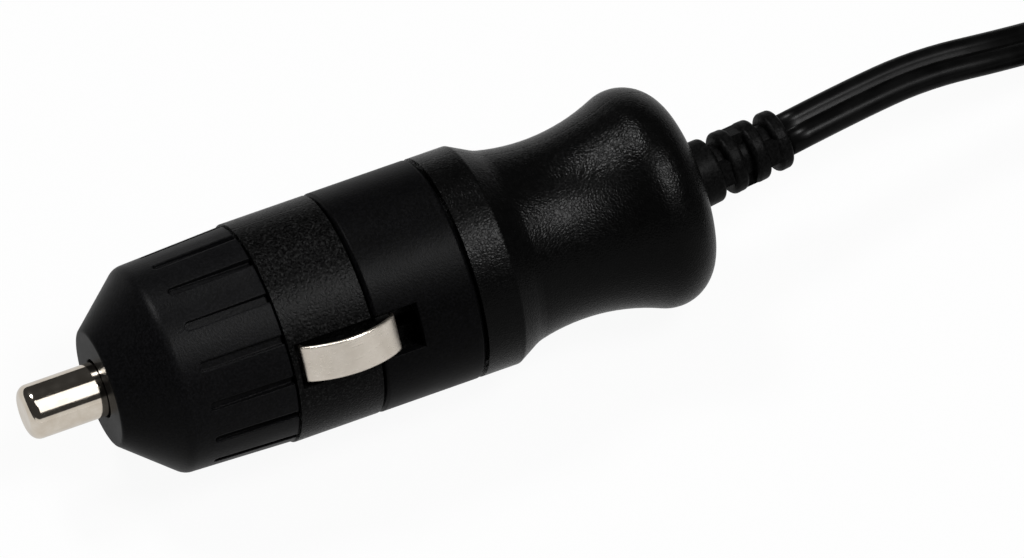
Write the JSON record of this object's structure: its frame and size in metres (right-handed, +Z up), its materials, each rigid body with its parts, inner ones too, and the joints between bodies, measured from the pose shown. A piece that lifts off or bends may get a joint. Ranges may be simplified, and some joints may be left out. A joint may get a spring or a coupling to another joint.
{
  "type": "car charger plug with captive cord",
  "caption": "Black plug for a 12 V car accessory socket, with sprung contacts, a screw-off fuse cap, a waisted handle and a captive flat cord.",
  "frame": {"origin": "on the surface that the plug lies on, under the middle of its length from pin tip to strain relief", "axes": "+X along the plug from the centre pin to the cord, +Z up"},
  "size_m": [0.1527, 0.0522, 0.0208],
  "materials": {
    "nickel_plate": "polished nickel plate",
    "smooth_black": "satin black moulding",
    "textured_black": "coarse spark-eroded black moulding",
    "grained_black": "fine leather-grain black moulding",
    "soft_pvc": "matte soft black moulding",
    "cord_pvc": "glossy black cord sheath",
    "tie_plastic": "black tie",
    "steel": "bright steel",
    "insert_plastic": "black insert",
    "fuse_glass": "clear glass",
    "tinned_wire": "tinned wire",
    "brass": "plain brass",
    "board_green": "green solder mask",
    "chip_epoxy": "black epoxy",
    "ferrite": "grey ferrite",
    "can_aluminium": "aluminium can",
    "wire_black": "black insulation",
    "wire_red": "red insulation"
  },
  "bodies": {
    "housing": {"carrier_left": "textured_black", "carrier_right": "textured_black", "handle_left": "grained_black", "handle_right": "grained_black", "barrel_sleeve": "smooth_black", "strain_relief": "soft_pvc", "pin_spring": "steel", "terminal_plate": "brass", "circuit_board": "board_green", "converter_chip": "chip_epoxy", "inductor": "ferrite", "diode": "chip_epoxy", "input_capacitor": "can_aluminium", "output_capacitor": "can_aluminium", "ground_lead_left": "wire_black", "ground_lead_right": "wire_black", "output_lead_positive": "wire_red", "output_lead_negative": "wire_black", "cord_lead": "cord_pvc", "cord_coil": "cord_pvc", "cord_tail": "cord_pvc", "coil_tie": "tie_plastic", "usb_grip": "soft_pvc", "usb_shell": "steel", "usb_insert": "insert_plastic"},
    "centre_contact": {"centre_pin": "nickel_plate", "fuse_glass": "fuse_glass", "fuse_wire": "tinned_wire", "fuse_cap_front": "nickel_plate", "fuse_cap_rear": "nickel_plate"},
    "cap": {"nose_cap": "smooth_black"},
    "contact_left": {"side_contact_left": "nickel_plate"},
    "contact_right": {"side_contact_right": "nickel_plate"}
  },
  "joints": [
    {"name": "pin_press", "type": "slide", "parent": "housing", "child": "centre_contact", "axis": [1, 0, 0], "range_m": [0, 0.003], "stiffness_N_per_m": 1500, "deforming": ["pin_spring"]},
    {"name": "cap_draw", "type": "slide", "parent": "housing", "child": "cap", "axis": [-1, 0, 0], "range_m": [0, 0.024]},
    {"name": "contact_press_left", "type": "slide", "parent": "housing", "child": "contact_left", "axis": [0, -0.848, 0.5299], "range_m": [0, 0.0015], "stiffness_N_per_m": 3000},
    {"name": "contact_press_right", "type": "slide", "parent": "housing", "child": "contact_right", "axis": [0, 0.848, -0.5299], "range_m": [0, 0.0015], "stiffness_N_per_m": 3000}
  ]
}
